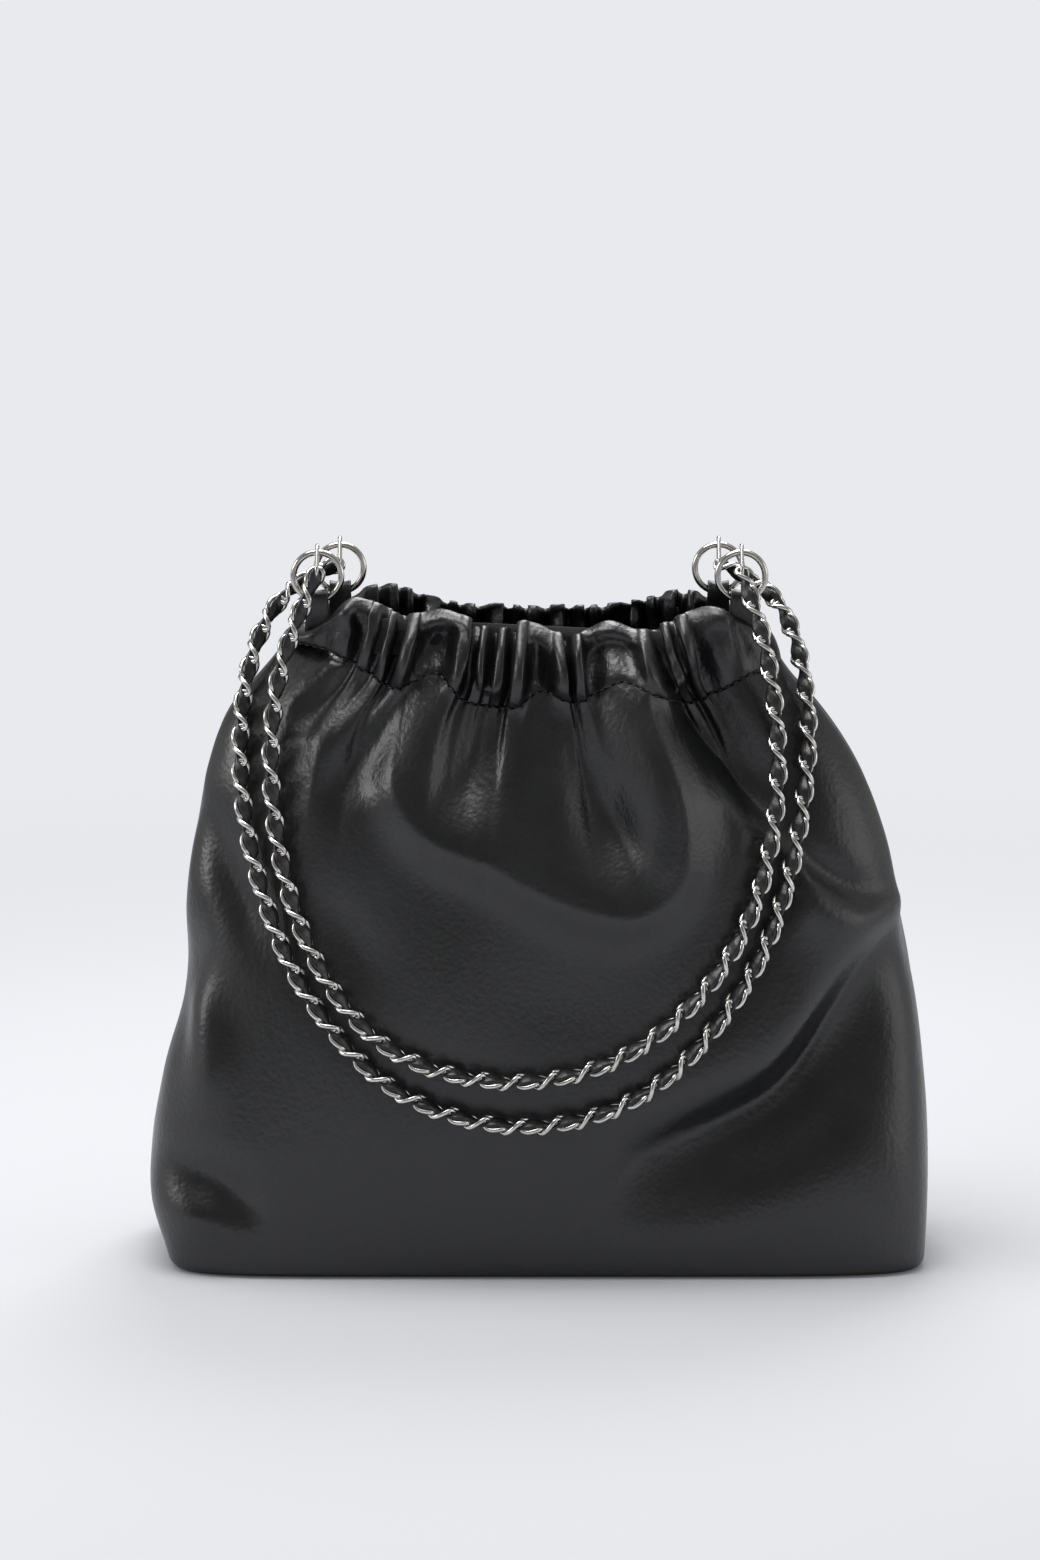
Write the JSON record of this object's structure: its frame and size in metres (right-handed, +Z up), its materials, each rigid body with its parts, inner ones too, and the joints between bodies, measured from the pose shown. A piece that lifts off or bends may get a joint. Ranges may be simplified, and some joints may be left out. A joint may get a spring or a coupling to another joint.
{
  "type": "chain shoulder bag",
  "caption": "Soft black leather shoulder bag with an elastic gathered top, wire rings in leather tabs and a pair of woven chain straps.",
  "frame": {"origin": "middle of the flat base, on the surface that the bag stands on", "axes": "+X along the bag's width to the viewer's right, +Y from the front to the back, +Z up"},
  "size_m": [0.3502, 0.1396, 0.3256],
  "materials": {
    "black_leather": "soft semi-gloss nappa",
    "lining_cloth": "matte woven",
    "board": "plain",
    "elastic": "knitted",
    "ring_metal": "polished nickel plate",
    "chain_metal": "polished"
  },
  "bodies": {
    "bag": {"front_panel": "black_leather", "back_panel": "black_leather", "base_panel": "black_leather", "front_casing": "black_leather", "back_casing": "black_leather", "front_lining": "lining_cloth", "back_lining": "lining_cloth", "base_lining": "lining_cloth", "base_board": "board", "front_elastic": "elastic", "back_elastic": "elastic", "tab_front_left": "black_leather", "tab_front_right": "black_leather", "tab_back_left": "black_leather", "tab_back_right": "black_leather"},
    "front_left_ring": {"ring_front_left": "ring_metal"},
    "front_right_ring": {"ring_front_right": "ring_metal"},
    "front_strap": {"front_chain_strap": "chain_metal", "end_link_front_left": "chain_metal", "end_link_front_right": "chain_metal"},
    "back_left_ring": {"ring_back_left": "ring_metal"},
    "back_right_ring": {"ring_back_right": "ring_metal"},
    "back_strap": {"back_chain_strap": "chain_metal", "end_link_back_left": "chain_metal", "end_link_back_right": "chain_metal"}
  },
  "joints": [
    {"name": "front_left_ring_turn", "type": "hinge", "parent": "bag", "child": "front_left_ring", "pos_m": [-0.099, -0.014, 0.3004], "axis": [-1, 0, 0], "range_deg": [0, 25]},
    {"name": "front_right_ring_turn", "type": "hinge", "parent": "bag", "child": "front_right_ring", "pos_m": [0.08937, -0.014, 0.3004], "axis": [-1, 0, 0], "range_deg": [0, 25]},
    {"name": "front_strap_swing", "type": "hinge", "parent": "front_left_ring", "child": "front_strap", "pos_m": [-0.099, -0.014, 0.3216], "axis": [-1, 0, 0], "range_deg": [0, 165]},
    {"name": "back_left_ring_turn", "type": "hinge", "parent": "bag", "child": "back_left_ring", "pos_m": [-0.09, 0.014, 0.3004], "axis": [-1, 0, 0], "range_deg": [0, 60]},
    {"name": "back_right_ring_turn", "type": "hinge", "parent": "bag", "child": "back_right_ring", "pos_m": [0.08038, 0.014, 0.3004], "axis": [-1, 0, 0], "range_deg": [0, 60]},
    {"name": "back_strap_swing", "type": "hinge", "parent": "back_left_ring", "child": "back_strap", "pos_m": [-0.09, 0.014, 0.3216], "axis": [-1, 0, 0], "range_deg": [0, 165]}
  ],
  "couplings": [
    {"joint": "front_right_ring_turn", "follows": "front_left_ring_turn", "ratio": 1},
    {"joint": "back_right_ring_turn", "follows": "back_left_ring_turn", "ratio": 1}
  ]
}
